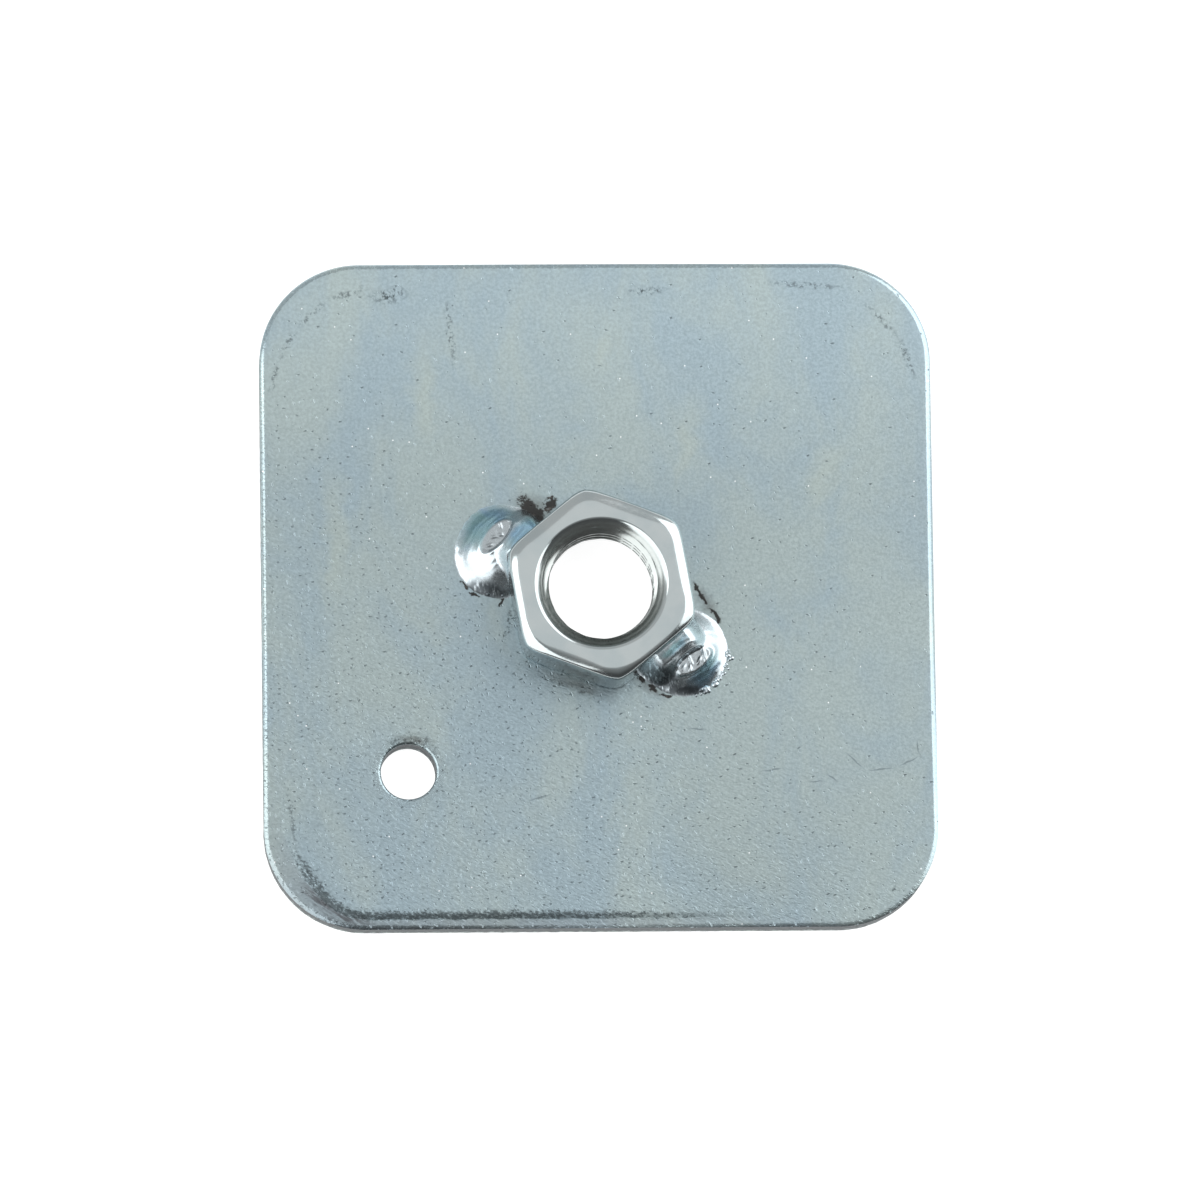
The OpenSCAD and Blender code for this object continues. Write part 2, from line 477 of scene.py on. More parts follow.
def punchHole(bm, layers, mount):
    # the wall of a hole, from the flat underside over the rolled rim to the flat top
    rim, steps = plateForm["rimRoll"], plateForm["holeSteps"]
    radius = mount["dims"]["r_mm"]
    middle = Vector((mount["pos_m"][0] / mm, mount["pos_m"][1] / mm, 0))
    profile = [(radius + 0.8, 0.0), (radius + 0.06, 0.0), (radius, 0.08), (radius, 1.4)]
    for i in range(plateForm["rimSteps"] + 1):
        angle = math.radians(90 * i / plateForm["rimSteps"])
        profile.append((radius + rim * (1 - math.cos(angle)), plateTop - rim + rim * math.sin(angle)))
    profile.append((radius + rim + 0.7, plateTop))
    rings = []
    for r, z in profile:
        angles = (2 * math.pi * i / steps for i in range(steps))
        rings.append(addRing(bm, [middle + Vector((r * math.cos(a), r * math.sin(a), z)) for a in angles]))
        for vert in rings[-1]:
            vert[layers["step"]] = -1.0
            vert[layers["roll"]] = 1.0 if z > plateTop / 2 and r < radius + rim + 0.1 else 0.0
    joinRings(bm, rings)
    return rings


def makePlate(material):
    form = plateForm
    bm = bmesh.new()
    layers = {name: bm.verts.layers.float.new(name) for name in ("roll", "step", "press")}
    outline = [(place, out, edgeAt(place)) for place, out in plateOutline()]
    rings = []

    def ring(rule):
        row = []
        marks = []
        for place, out, edge in outline:
            inset, z = rule(place, edge)
            row.append(place - out * inset + Vector((0, 0, z)))
            marks.append((max(1 - inset / edge["width"], 0.0), stepShare(edge, inset), edge["press"]))
        rings.append(addRing(bm, row))
        for vert, values in zip(rings[-1], marks):
            for layer, value in zip(layers.values(), values):
                vert[layer] = value

    def tear(place, z):
        return form["ragged"] * (0.5 + 0.5 * noise.noise(Vector((place.x * 1.7, place.y * 1.7, z * 3))))

    # from the underside up the torn side, then in over the rounded edge and the step
    ring(lambda place, edge: (form["underFlat"], 0.0))
    ring(lambda place, edge: (form["underRound"], 0.0))
    for share in form["sideRows"]:
        ring(lambda place, edge: (tear(place, share * 2.2), share * (plateTop - edgeFall(edge, 0.0))))
    for i in range(form["edgeRows"]):
        inward = (i / (form["edgeRows"] - 1)) ** 1.5
        ring(lambda place, edge: (edge["reach"] * inward, plateTop - edgeFall(edge, edge["reach"] * inward)))
    ring(lambda place, edge: (edge["reach"] + form["topMargin"], plateTop))
    for vert in rings[-1]:
        vert[layers["step"]] = -1.0
    joinRings(bm, rings)
    topEdges = ringEdges(bm, rings[-1])
    lowEdges = ringEdges(bm, rings[0])
    for name in ("bolt_clearance", "locating_hole"):
        hole = punchHole(bm, layers, mounts[name])
        topEdges += ringEdges(bm, hole[-1])
        lowEdges += ringEdges(bm, hole[0])
    bmesh.ops.triangle_fill(bm, use_beauty=True, edges=topEdges, normal=(0, 0, 1))
    bmesh.ops.triangle_fill(bm, use_beauty=True, edges=lowEdges, normal=(0, 0, -1))
    addPiece("zincPlate", bm, material, "plate")


# the zinc on the plate is cloudy and pitted, with soot by the welds and dirt near the edges, and painted
# shade at the nut's foot and in the gaps by the beads; places are in mm
plateFinish = {
    "blue": (0.297, 0.378, 0.418, 1),
    "warm": (0.353, 0.417, 0.407, 1),
    "pit": (0.13, 0.165, 0.18, 1),
    "speck": (0.95, 0.97, 0.97, 1),
    "torn": (0.085, 0.098, 0.104, 1),
    "sootAndShadowBlack": (0.012, 0.012, 0.011, 1),
    "sootAndShadeBrown": (0.068, 0.063, 0.058, 1),
    "dirtAndContactShade": (0.06, 0.075, 0.08, 1),
    "shelf": (0.24, 0.265, 0.285, 1),
    "rub": (0.085, 0.088, 0.095, 1),
    "roughness": 0.33,
    "edgeRoughness": 0.22,
    "grainScale": 3.6,
    "dentsBack": 0.09,       # share of the surface's cells with a dent, at the back ...
    "dentsFront": 0.8,       # ... and in front on the left
    "specks": 0.012,         # share of cells with a bright speck
    # how strongly each of these covers the zinc
    "dentCover": 0.5,
    "shelfCover": 0.4,
    "rubCover": 0.85,
    "lipCover": 0.2,
    "dirtAndContactShadeCover": 0.88,
    "hazeAndPaintedShadeCover": 0.5,
    "scratchCover": 0.6,
    # relief in mm
    "grainDepth": 0.012,
    "dentDepth": 0.040,
    "creaseDepth": 0.065,
    # centre, turn in degrees, half sizes
    "warmStreaks": (
        ((0.7, 23.5), 4, (2.4, 6.0)), ((21.6, 11.3), -29, (3.0, 9.5)), ((-16.1, 18.0), 0, (2.6, 12.0)),
        ((8.5, 14.0), -8, (2.0, 8.0)), ((-24.5, 4.0), 3, (2.2, 14.0)),
    ),
    # soot by the welds; the spot at (-9.15, -0.6), in the gap between the left bead and the nut, and the
    # three spots along the crack under the right bead's tail are painted shadow
    "sootAndGapShadow": (
        ((-6.4, 8.3), -52, (3.0, 1.6)), ((-5.7, 7.6), -40, (2.2, 1.4)), ((-4.4, 8.6), 60, (1.9, 1.1)),
        ((9.9, -0.5), -57, (1.5, 0.45)), ((11.0, -2.0), -52, (1.9, 0.5)), ((-9.15, -0.6), 79, (1.4, 0.3)),
        ((3.95, -8.1), -48, (1.3, 0.6)), ((5.0, -9.0), -35, (1.2, 0.6)), ((6.3, -9.7), -12, (1.3, 0.5)),
        ((-12.6, 0.9), -50, (1.4, 0.38)), ((-11.6, 0.0), -18, (1.1, 0.34)), ((9.3, 0.6), -60, (1.6, 0.42)),
    ),
    # soot haze by the welds and a smudge by the hole; the band just below the nut's front is painted shade
    "sootHazeAndPaintedShade": (
        ((-5.8, 8.3), -20, (3.2, 1.9)), ((10.2, -0.8), -56, (3.0, 0.9)), ((4.8, -9.0), -35, (2.4, 0.8)),
        ((-17.5, -13.8), -6, (2.2, 0.6)), ((-2.0, -8.6), -20, (4.8, 1.0)),
    ),
    # dirt patches; the last two, at the nut's foot, are painted contact shade
    "dirtAndContactShadePatches": (
        ((-19.5, 28.7), 8, (2.6, 1.1)), ((5.0, 29.1), 3, (2.6, 0.5)), ((27.5, -28.2), 30, (0.5, 0.35)),
        ((-18.4, -13.9), 3, (2.2, 0.75)), ((-16.7, -14.4), -32, (1.9, 0.8)), ((-17.3, -13.7), -8, (1.9, 0.8)),
        ((-3.0, -8.7), -20, (4.6, 0.4)), ((-8.6, -2.9), 80, (3.0, 0.35)),
    ),
    # start and end
    "dirtLines": (
        ((-30.7, 19.5), (-30.0, 22.4)), ((-30.0, 22.4), (-28.2, 25.6)), ((-28.2, 25.6), (-25.4, 28.2)),
        ((-25.4, 28.2), (-21.0, 29.6)), ((-14.1, 29.3), (-13.3, 21.1)), ((15.5, 29.9), (24.5, 29.4)),
        ((25.5, 28.0), (28.8, 24.6)), ((28.8, 24.6), (30.3, 20.5)), ((-29.6, -18.0), (-28.6, -24.5)),
    ),
    "rubbedCorner": (((-26.6, -28.9), -42, (3.0, 0.95)), ((-24.0, -30.6), -14, (3.4, 0.8))),
    "scratches": (
        ((23.0, -15.1), (24.9, -16.9)), ((24.9, -16.9), (27.9, -16.7)), ((27.9, -16.7), (30.1, -15.5)),
        ((30.1, -15.5), (29.8, -14.0)), ((19.6, -18.0), (21.0, -17.8)), ((15.0, -17.0), (17.4, -16.6)),
        ((8.0, -12.7), (10.1, -13.0)), ((-6.9, -19.8), (-4.6, -19.0)), ((21.2, -17.2), (22.4, -17.9)),
    ),
}


def zincClouds(tree, place):
    # bluer and warmer zinc, drawn out up and down
    tall = moved(tree, place, turn=5, size=(1.0, 2.0, 1.0))
    cloud = fade(tree, noiseOf(tree, tall, 0.12, detail=4.0, rough=0.6, distort=0.4), 0.36, 0.66)
    streaks = stains(tree, ragged(tree, place, 0.3, 4.0), plateFinish["warmStreaks"], 0.0)
    warmth = calc(tree, "MAXIMUM", calc(tree, "MULTIPLY", cloud, 0.75), streaks)
    return tint(tree, warmth, plateFinish["blue"], plateFinish["warm"])


def plateDirtAndContactShade(tree, place, wobbly, step, press):
    # dirt lies in crumbs, and more thickly along the pressed step; two patches at the nut's foot are painted
    # contact shade
    crumbs = fade(tree, noiseOf(tree, place, 2.6, detail=4.0, rough=0.7), 0.46, 0.6)
    lines = calc(tree, "MULTIPLY", scratches(tree, wobbly, plateFinish["dirtLines"], 0.42), 0.7)
    dirtAndContactShade = calc(tree, "MAXIMUM", stains(tree, wobbly, plateFinish["dirtAndContactShadePatches"], 0.1), lines)
    dirtAndContactShade = calc(tree, "MULTIPLY", dirtAndContactShade, crumbs)
    band = calc(tree, "MULTIPLY", fade(tree, step, -1.0, 0.35), fade(tree, step, 1.0, 0.75))
    band = calc(tree, "MULTIPLY", band, press)
    slanting = moved(tree, place, turn=-24, size=(1.6, 1.0, 1.0))
    bandGrain = noiseOf(tree, slanting, 3.4, detail=4.0, rough=0.75)
    bandDirt = fade(tree, calc(tree, "ADD", bandGrain, calc(tree, "MULTIPLY", band, 0.34)), 0.64, 0.86)
    bandDirt = calc(tree, "MULTIPLY", bandDirt, fade(tree, band, 0.0, 0.25))
    return calc(tree, "MAXIMUM", dirtAndContactShade, bandDirt)


def plateRub(tree, place, wobbly):
    # long rubbed marks at the front left corner
    dragged = moved(tree, place, turn=-36, size=(3.0, 0.4, 1.0))
    lines = fade(tree, noiseOf(tree, dragged, 1.2, detail=3.0, rough=0.6), 0.40, 0.58)
    return calc(tree, "MULTIPLY", stains(tree, wobbly, plateFinish["rubbedCorner"], 0.2), lines)


def plateSootAndGapShadow(tree, place, wobbly):
    # soot breaks up into flakes, some of them browner
    flakes = noiseOf(tree, place, 3.2, detail=4.0, rough=0.85)
    # soot spots, some of them painted shadow in the gaps by the beads
    spots = calc(tree, "MULTIPLY", stains(tree, wobbly, plateFinish["sootAndGapShadow"], 0.0), 0.7)
    browner = fade(tree, noiseOf(tree, place, 1.4), 0.60, 0.72)
    tone = tint(tree, browner, plateFinish["sootAndShadowBlack"], plateFinish["sootAndShadeBrown"])
    return fade(tree, calc(tree, "ADD", spots, flakes), 0.86, 0.98), tone


def tornSide(tree, place, z):
    # the torn side is dull and dark, with bright crumbs of zinc
    burr = fade(tree, z, 2.0, 0.1, -0.18, 0.14)
    crumbs = calc(tree, "ADD", noiseOf(tree, place, 2.2, detail=3.0, rough=0.7), burr)
    return tint(tree, fade(tree, crumbs, 0.48, 0.76), plateFinish["torn"], plateFinish["warm"])


def plateMaterial():
    finish = plateFinish
    material, tree, shader, place = startMaterial("zincPlateFinish")
    x, y, z = put(tree, "ShaderNodeSeparateXYZ", {0: place}).outputs
    roll, step, press = (painted(tree, name) for name in ("roll", "step", "press"))
    facing = put(tree, "ShaderNodeNewGeometry").outputs["True Normal"]
    faceUp = put(tree, "ShaderNodeSeparateXYZ", {0: facing}).outputs[2]
    side = fade(tree, calc(tree, "ABSOLUTE", faceUp), 0.45, 0.2)
    top = fade(tree, z, plateTop - 1.6, plateTop - 1.2)
    wobbly = ragged(tree, place, 1.6, 0.9)
    # the dents crowd together in front on the left, and the colour is painted lighter towards the back:
    # painted light
    forward = calc(tree, "ADD", calc(tree, "MULTIPLY", y, -0.7), calc(tree, "MULTIPLY", x, -0.5))
    crowd = fade(tree, forward, -10.0, 22.0, finish["dentsBack"], finish["dentsFront"])
    parts = plating(tree, place, finish["grainScale"], crowd, finish["specks"])
    # painted light: the plate's colour grows lighter towards the back
    paintedLightToBack = fade(tree, y, 6.0, 31.0, 1.0, 1.16)
    grainToneAndPaintedLight = calc(tree, "MULTIPLY", fade(tree, parts["Grain"], 0.25, 0.75, 0.89, 1.11), paintedLightToBack)
    colour = tint(tree, 1.0, zincClouds(tree, place), grainToneAndPaintedLight, mode="MULTIPLY")
    colour = tint(tree, calc(tree, "MULTIPLY", parts["Dents"], finish["dentCover"]), colour, finish["pit"])
    colour = tint(tree, parts["Specks"], colour, finish["speck"])
    # the shelf below the step is rubbed dull, and its lip is dirty
    shelf = calc(tree, "MULTIPLY", fade(tree, step, 0.8, 1.0), press)
    colour = tint(tree, calc(tree, "MULTIPLY", shelf, finish["shelfCover"]), colour, finish["shelf"])
    rubbed = calc(tree, "MULTIPLY", plateRub(tree, place, wobbly), finish["rubCover"])
    colour = tint(tree, rubbed, colour, finish["rub"])
    lip = calc(tree, "MULTIPLY", fade(tree, roll, 0.1, 0.6), press)
    colour = tint(tree, calc(tree, "MULTIPLY", lip, finish["lipCover"]), colour, finish["dirtAndContactShade"])
    # dirt, with painted contact shade at the nut's foot
    dirtAndContactShade = calc(tree, "MULTIPLY", plateDirtAndContactShade(tree, place, wobbly, step, press), top)
    colour = tint(tree, calc(tree, "MULTIPLY", dirtAndContactShade, finish["dirtAndContactShadeCover"]), colour, finish["dirtAndContactShade"])
    # painted shade: soot haze, with a soft dark band along the nut's front foot
    haze = calc(tree, "MULTIPLY", stains(tree, wobbly, finish["sootHazeAndPaintedShade"], 0.0), finish["hazeAndPaintedShadeCover"])
    colour = tint(tree, calc(tree, "MULTIPLY", haze, top), colour, finish["sootAndShadeBrown"])
    # soot, with painted shadow in the gaps by the beads
    sootAndGapShadow, sootAndShadowTone = plateSootAndGapShadow(tree, place, wobbly)
    sootAndGapShadow = calc(tree, "MULTIPLY", sootAndGapShadow, top)
    colour = tint(tree, sootAndGapShadow, colour, sootAndShadowTone)
    lines = scratches(tree, ragged(tree, place, 0.9, 0.5), finish["scratches"], 0.11)
    lines = calc(tree, "MULTIPLY", lines, calc(tree, "MULTIPLY", top, finish["scratchCover"]))
    colour = tint(tree, lines, colour, finish["pit"])
    colour = tint(tree, side, colour, tornSide(tree, place, z))
    # the rounded edge is polished; soot, dirt, the painted shade among them and the torn side are dull
    rough = fade(tree, parts["Grain"], 0.2, 0.8, finish["roughness"] - 0.05, finish["roughness"] + 0.07)
    polish = calc(tree, "MULTIPLY", fade(tree, roll, 0.0, 0.3), finish["edgeRoughness"] - finish["roughness"])
    rough = calc(tree, "ADD", rough, polish)
    dull = calc(tree, "MAXIMUM", calc(tree, "MAXIMUM", sootAndGapShadow, side), calc(tree, "MULTIPLY", dirtAndContactShade, 0.5))
    rough = calc(tree, "ADD", rough, calc(tree, "MULTIPLY", dull, 0.3))
    metal = calc(tree, "SUBTRACT", 0.95, calc(tree, "MULTIPLY", sootAndGapShadow, 0.9))
    tree.links.new(metal, shader.inputs["Metallic"])
    height = calc(tree, "MULTIPLY", parts["Grain"], finish["grainDepth"])
    height = calc(tree, "SUBTRACT", height, calc(tree, "MULTIPLY", parts["Dents"], finish["dentDepth"]))
    creases = calc(tree, "MULTIPLY", crowd, finish["creaseDepth"])
    height = calc(tree, "ADD", height, calc(tree, "MULTIPLY", parts["Wrinkles"], creases))
    finishMaterial(tree, shader, colour, rough, height)
    return material


# the nut: a thin hexagon nut with soft plated edges and a right-hand fine thread
nutForm = {
    "acrossFlats": 16.5,
    "flatTurn": 9.6,         # degrees from +X to the first flat
    "crownStart": 8.0,       # the corners fall away from here ...
    "crownSlope": 17,
    "crownSoft": 0.5,        # ... slowly over this width
    # the top curves down towards each flat over these widths, first flat first, and ends at this slope
    "easeWidths": (1.6, 1.9, 2.0, 1.7, 1.6, 0.9),
    "easeSlope": 38,
    "crownEnd": 6.55,        # inside this radius the top is flat
    "crownRows": 18,
    "edgeRound": 0.24,       # plating builds up round the edges
    "cornerEase": 0.3,
    "cornerRound": 0.5,
    "majorRadius": 5.555,
    "pitch": 1.27,
    "sinkWidth": 0.65,
    "sinkSlope": 45,
    "sinkRound": 0.2,
    "columns": 264,
    "rowsPerTurn": 28,
}


def threadRadius(low, high, turn):
    # a ridge with a narrow flat tip, sloping sides and a rounded root
    t = abs((turn % 1.0) - 0.5) * 2
    share = min(max((t - 0.14) / 0.74, 0.0), 1.0)
    return low + (high - low) * share * (1.25 - 0.25 * share)


def easeAt(angle):
    flats = angle / (math.pi / 3) % 6
    k = int(flats)
    share = 0.5 - 0.5 * math.cos(math.pi * (flats - k))
    widths = nutForm["easeWidths"]
    return widths[k % 6] * (1 - share) + widths[(k + 1) % 6] * share


def crownDrop(r, side, width):
    # the top curves down slowly, then faster, towards each flat, and a little more at the corners
    form = nutForm
    share = max(1 - (side - r) / width, 0.0)
    ease = math.tan(math.radians(form["easeSlope"])) * width * share ** 3 / 3
    over = max(r - form["crownStart"], 0.0)
    return ease + math.tan(math.radians(form["crownSlope"])) * over * over / (over + form["crownSoft"])


def makeNut(material):
    bm = bmesh.new()
    height = nutHigh.z - nutLow.z
    tip = mounts["bolt_thread"]["dims"]["r_mm"]
    root = nutForm["majorRadius"]
    sink = root + nutForm["sinkWidth"]
    sinkRise = math.tan(math.radians(nutForm["sinkSlope"]))
    turn = math.radians(nutForm["flatTurn"])
    flat = nutForm["acrossFlats"] / 2
    cornerReach = flat / math.cos(math.pi / 6)
    easedReach = cornerReach - nutForm["cornerEase"]
    lip = 2 * nutForm["sinkRound"]
    rows = math.ceil(height / nutForm["pitch"] * nutForm["rowsPerTurn"])
    columns = []
    for c in range(nutForm["columns"]):
        angle = 2 * math.pi * c / nutForm["columns"]
        swing = (angle - turn + math.pi / 6) % (math.pi / 3) - math.pi / 6
        side = smoothMin(flat / math.cos(swing), easedReach, nutForm["cornerRound"])
        ease = easeAt(angle - turn)
        edgeStart = side - nutForm["edgeRound"]
        inward = (nutForm["crownEnd"] - edgeStart) / (nutForm["crownRows"] - 1)
        crown = [Vector((edgeStart + inward * i, 0)) for i in range(nutForm["crownRows"])]
        for point in crown:
            point.y = height - crownDrop(point.x, side, ease)
        edge = [(side, height / 2), (side, height - crownDrop(side, side, ease)), crown[0]]
        edge = rounded(edge, [nutForm["edgeRound"]], 7)
        mouth = [crown[-1], (sink, height), (sink - lip, height - lip * sinkRise)]
        mouth = rounded(mouth, [nutForm["sinkRound"]], 6)
        upper = edge[:-1] + crown[:-1] + mouth[1:]
        profile = [Vector((r, height - z)) for r, z in reversed(upper[1:])] + upper
        for i in range(1, rows):
            z = height * (1 - i / rows)
            depth = min(z, height - z)
            if depth <= lip * sinkRise:
                continue
            wall = threadRadius(tip, root, z / nutForm["pitch"] - angle / (2 * math.pi))
            profile.append(Vector((max(wall, sink - depth / sinkRise), z)))
        columns.append([(r * math.cos(angle), r * math.sin(angle), nutLow.z + z) for r, z in profile])
    rings = [addRing(bm, row) for row in zip(*columns)]
    joinRings(bm, rings, closed=True)
    addPiece("hexNut", bm, material, "hex_nut", 50)
    return flat, cornerReach


nutFinish = {
    "bright": (0.46, 0.505, 0.51, 1),
    "dull": (0.42, 0.475, 0.485, 1),
    # the bore's colour is darker: its own finish and painted shade inside the bore
    "inside": (0.41, 0.44, 0.43, 1),
    "roughness": 0.14,
    "inRoughness": 0.21,
    "insideFrom": (6.15, 5.7),  # radii between which the face turns into the bore's finish
    "grainScale": 2.6,
    "grainDepth": 0.0025,       # in mm
    "ringTurns": 14.0,          # fine turned rings, radians for each mm
    "ringDepth": 0.0025,
}


def nutMaterial():
    finish = nutFinish
    material, tree, shader, place = startMaterial("brightNutFinish")
    shader.inputs["Metallic"].default_value = 1.0
    flatPlace = vecCalc(tree, "MULTIPLY", place, (1.0, 1.0, 0.0))[0]
    radius = vecCalc(tree, "LENGTH", flatPlace)["Value"]
    inside = fade(tree, radius, *finish["insideFrom"])
    parts = plating(tree, place, finish["grainScale"])
    haze = fade(tree, noiseOf(tree, place, 0.35, detail=3.0), 0.35, 0.65)
    colour = tint(tree, haze, finish["bright"], finish["dull"])
    # the bore and countersink are painted darker, partly as painted shade
    colour = tint(tree, inside, colour, finish["inside"])
    rough = fade(tree, parts["Grain"], 0.2, 0.8, finish["roughness"] - 0.03, finish["roughness"] + 0.04)
    rougher = calc(tree, "MULTIPLY", inside, finish["inRoughness"] - finish["roughness"])
    rough = calc(tree, "ADD", rough, rougher)
    # fine turned rings in the countersink and along the thread
    rings = calc(tree, "SINE", calc(tree, "MULTIPLY", radius, finish["ringTurns"]))
    rings = calc(tree, "MULTIPLY", calc(tree, "MULTIPLY", rings, inside), finish["ringDepth"])
    height = calc(tree, "ADD", calc(tree, "MULTIPLY", parts["Grain"], finish["grainDepth"]), rings)
    finishMaterial(tree, shader, colour, rough, height)
    return material


# the weld beads: a flat dome by one corner of the nut, climbing its flat,
# with a sunken stop where the arc was cut
beadForms = {
    "leftBead": {
        "node": "left_weld", "turn": 129.6, "radius": 4.4, "height": 2.5, "domePower": 2.0,
        "off": 0.75, "along": 0.55,  # its middle stands off the flat, and along it from the corner
        # the web of metal that climbs the flat, then the sunken stop
        "webHigh": 3.9, "webSlope": 40, "webReach": 1.6, "webAt": 2.0, "webHalf": 1.9,
        "stop": (1.3, -0.2), "stopTurn": -10, "stopHalf": (0.85, 1.95), "stopLevel": 1.95,
        # sharp crystals in the stop: place, turn, length, height
        "crystals": ((0.4, -1.0, 35, 0.3, 0.07), (0.1, 0.3, -50, 0.32, 0.06), (-0.3, -0.3, -30, 0.26, 0.07),
                     (-0.1, 1.2, -62, 0.32, 0.07)),
        # drops of spatter between two angles, and a tail that bulges out at the foot
        "seed": 3, "spatter": 4, "spatterFrom": 120, "spatterTo": 200,
        "tail": 0.4, "tailAt": 92, "tailWidth": 42, "tailRough": 0.0,
    },
    "rightBead": {
        "node": "right_weld", "turn": 309.6, "radius": 4.25, "height": 2.35, "domePower": 1.6,
        "off": 1.05, "along": 2.15,
        "webHigh": 3.5, "webSlope": 14, "webReach": 0.9, "webAt": 1.7, "webHalf": 1.6,
        "stop": (1.5, -0.1), "stopTurn": 4, "stopHalf": (0.85, 1.95), "stopLevel": 1.7,
        "crystals": ((0.05, 1.15, 20, 0.7, 0.2), (0.2, 0.45, 62, 0.5, 0.13), (-0.25, -0.2, 12, 0.42, 0.08),
                     (0.3, -0.7, 38, 0.4, 0.08), (-0.1, -1.2, 66, 0.35, 0.07)),
        "seed": 8, "spatter": 34, "spatterFrom": -26, "spatterTo": 52,
        "tail": 0.5, "tailAt": -108, "tailWidth": 20, "tailRough": 1.0,
    },
}
beadMesh = {"rows": 84, "columns": 240, "under": 0.1}  # under: how deep a bead sits in the flat, in mm


def hexPull(x, y, flat):
    # moves a point that lies deep in the nut out to just under its nearest flat
    depths = []
    for k in (-1, 0, 1, 2):
        across = Vector((math.cos(k * math.pi / 3), math.sin(k * math.pi / 3)))
        depths.append((flat - beadMesh["under"] - x * across.x - y * across.y, across))
    depth, across = min(depths, key=lambda pair: pair[0])
    return (x + across.x * depth, y + across.y * depth) if depth > 0 else (x, y)


def makeBead(name, form, material, flat, cornerReach):
    bm = bmesh.new()
    pick = random.Random(form["seed"])
    middle = Vector((flat + form["off"], cornerReach / 2 - form["along"]))
    radius, rise = form["radius"], form["height"]
    seed = Vector((form["seed"] * 7.3, form["seed"] * 3.1, 0))
    stopSpin = Matrix.Rotation(math.radians(form["stopTurn"]), 2)
    stopMiddle = middle + Vector(form["stop"])
    webFall = math.tan(math.radians(form["webSlope"]))
    stopMark = bm.verts.layers.float.new("stop")

    def surface(share, angle):
        out = Vector((math.cos(angle), math.sin(angle)))
        edge = radius * (1 + 0.035 * noise.noise(Vector((out.x, out.y, 0)) * 1.6 + seed))
        edge += 0.07 * noise.noise(Vector((out.x, out.y, 0)) * 9 + seed) * share ** 8
        swing = (math.degrees(angle) - form["tailAt"] + 180) % 360 - 180
        tail = form["tail"] * math.exp(-(swing / form["tailWidth"]) ** 2)
        shaken = form["tailRough"] * noise.noise(Vector((out.x, out.y, 0)) * 7 + seed)
        edge += tail * (1 + 0.5 * shaken * share ** 4)
        x, y = hexPull(middle.x + out.x * edge * share, middle.y + out.y * edge * share, flat)
        z = rise * (1 - share ** form["domePower"])
        fall = 1 - share ** 6
        # a web of metal slopes up to the nut's flat
        past = max(abs(y - form["webAt"]) - form["webHalf"], 0.0)
        beyond = max(x - flat - form["webReach"], 0.0)
        web = form["webHigh"] - webFall * max(x - flat, 0.0) - 1.1 * beyond ** 2 - 0.8 * past ** 2
        z = -smoothMin(-z, -web, 0.9) * fall
        # the stop is a shallow dish with a raised lip and a few sharp crystals
        local = stopSpin @ (Vector((x, y)) - stopMiddle)
        reach = math.hypot(local.x / form["stopHalf"][0], local.y / form["stopHalf"][1])
        dish = smoothStep(1.15, 0.85, reach)
        z += (form["stopLevel"] + 0.025 * noise.noise(Vector((x, y, 2)) * 2.5 + seed) - z) * dish
        z += 0.06 * math.exp(-((reach - 1.2) / 0.13) ** 2)
        for across, along, lean, length, high in form["crystals"]:
            step = Matrix.Rotation(math.radians(lean), 2) @ (local - Vector((across, along)))
            z += high * math.exp(-(step.x / length) ** 2 - (step.y / 0.13) ** 2)
        # faint rings left as the metal froze
        wave = math.sin(reach * 11 + 2 * noise.noise(Vector((x, y, 0)) * 0.7 + seed))
        z += 0.012 * wave * math.exp(-((reach - 1.9) / 0.6) ** 2) * fall
        z += 0.05 * noise.noise(Vector((x, y, 0)) * 0.9 + seed) * (1 - share)
        lumps = max(noise.noise(Vector((x, y, 5)) * 2.2 + seed) + 0.2, 0.0)
        z += 0.35 * tail * form["tailRough"] * lumps * share ** 3
        return Vector((x, y, max(z, 0.0))), dish

    rows, columns = beadMesh["rows"], beadMesh["columns"]
    turn = Matrix.Rotation(math.radians(form["turn"]), 3, "Z")
    lift = Vector((0, 0, plateTop))
    rings = []
    for r in range(1, rows + 1):
        share = math.sin(math.pi / 2 * r / rows)
        spots = [surface(share, 2 * math.pi * c / columns) for c in range(columns)]
        rings.append(addRing(bm, [turn @ spot + lift for spot, dish in spots]))
        for vert, (spot, dish) in zip(rings[-1], spots):
            vert[stopMark] = dish
    joinRings(bm, rings)
    crown = addRing(bm, [turn @ surface(0.0, 0.0)[0] + lift])[0]
    for i in range(columns):
        bm.faces.new((crown, rings[0][i], rings[0][(i + 1) % columns]))
    bm.faces.new(list(reversed(rings[-1])))
    for i in range(form["spatter"]):
        angle = math.radians(pick.uniform(form["spatterFrom"], form["spatterTo"]))
        spot = Vector((math.cos(angle), math.sin(angle))) * radius * pick.gauss(1.0, 0.03)
        size = 0.1 + 0.2 * pick.random() ** 2
        place = turn @ Vector((middle.x + spot.x, middle.y + spot.y, 0)) + lift + Vector((0, 0, size * 0.15))
        shape = Matrix.Translation(place * mm) @ Matrix.Rotation(pick.uniform(0, 6.28), 4, "Z")
        shape = shape @ Matrix.Diagonal((size * mm * pick.uniform(0.8, 1.7), size * mm, size * mm * 0.8, 1))
        bmesh.ops.create_icosphere(bm, subdivisions=2, radius=1.0, matrix=shape)
    addPiece(name, bm, material, form["node"], 60)


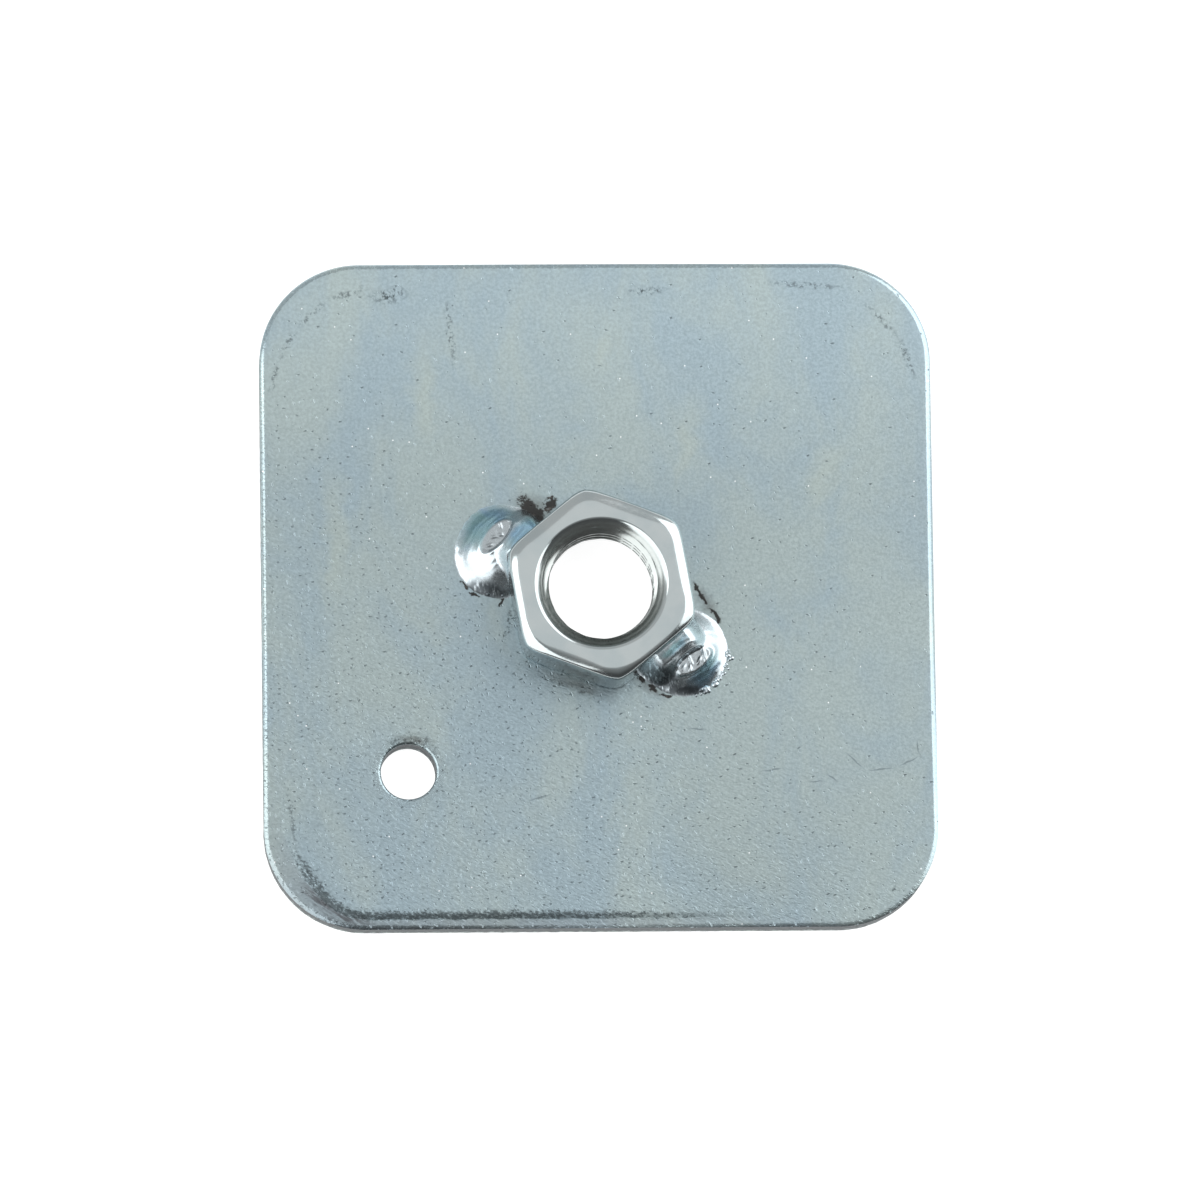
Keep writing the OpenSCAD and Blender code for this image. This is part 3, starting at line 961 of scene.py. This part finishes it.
beadFinish = {
    "plain": (0.49, 0.55, 0.58, 1),
    "blue": (0.27, 0.43, 0.57, 1),
    "teal": (0.29, 0.46, 0.49, 1),
    "bareAndPaintedShade": (0.37, 0.41, 0.43, 1),
    "burntAndPaintedShade": (0.04, 0.048, 0.055, 1),
    "roughness": 0.24,
    "grainScale": 2.6,
    "grainDepth": 0.006,     # in mm
    "burntAndPaintedShadeCover": 0.85,
    # heat tints, and burnt marks at the feet that also paint shade on each bead's lower side: centre, turn,
    # half sizes
    "hues": (((-10.6, 6.6), 40, (4.0, 2.6)), ((-7.2, 5.4), 50, (3.0, 1.5)), ((9.8, -7.6), 48, (2.6, 1.3)),
             ((6.9, -5.6), 40, (2.2, 0.7))),
    "burnsAndPaintedShade": (((-10.6, 0.35), -14, (2.9, 1.1)), ((5.8, -8.4), -24, (3.1, 1.7)),
              ((8.4, -9.3), -5, (2.4, 0.7))),
}


def beadMaterial():
    finish = beadFinish
    material, tree, shader, place = startMaterial("weldBeadFinish")
    shader.inputs["Metallic"].default_value = 1.0
    parts = plating(tree, place, finish["grainScale"])
    patch = fade(tree, noiseOf(tree, place, 0.3, detail=2.0, distort=0.5), 0.32, 0.58)
    hue = stains(tree, ragged(tree, place, 0.8, 1.2), finish["hues"], 0.3)
    colour = tint(tree, hue, finish["plain"], tint(tree, patch, finish["blue"], finish["teal"]))
    # the stop's dish is painted darker bare metal: its own colour and painted shade in the hollow
    colour = tint(tree, painted(tree, "stop"), colour, finish["bareAndPaintedShade"])
    streaky = moved(tree, place, turn=8, size=(0.35, 1.6, 1.0))
    streak = fade(tree, noiseOf(tree, streaky, 1.5, detail=3.0, rough=0.6), 0.30, 0.5)
    # burnt marks, which also paint shade on the lower side of each bead
    burntAndPaintedShade = calc(tree, "MULTIPLY", stains(tree, ragged(tree, place, 1.2, 0.6), finish["burnsAndPaintedShade"], 0.4), streak)
    colour = tint(tree, calc(tree, "MULTIPLY", burntAndPaintedShade, finish["burntAndPaintedShadeCover"]), colour, finish["burntAndPaintedShade"])
    rough = fade(tree, parts["Grain"], 0.2, 0.8, finish["roughness"] - 0.06, finish["roughness"] + 0.08)
    rough = calc(tree, "ADD", rough, calc(tree, "MULTIPLY", burntAndPaintedShade, 0.15))
    height = calc(tree, "MULTIPLY", parts["Grain"], finish["grainDepth"])
    finishMaterial(tree, shader, colour, rough, height)
    return material


makeCamera()
makeLamps()
makeRoom()
makeFloor()
makePlate(plateMaterial())
nutFlat, nutCorner = makeNut(nutMaterial())
weldFinish = beadMaterial()
for beadName, beadForm in beadForms.items():
    makeBead(beadName, beadForm, weldFinish, nutFlat, nutCorner)
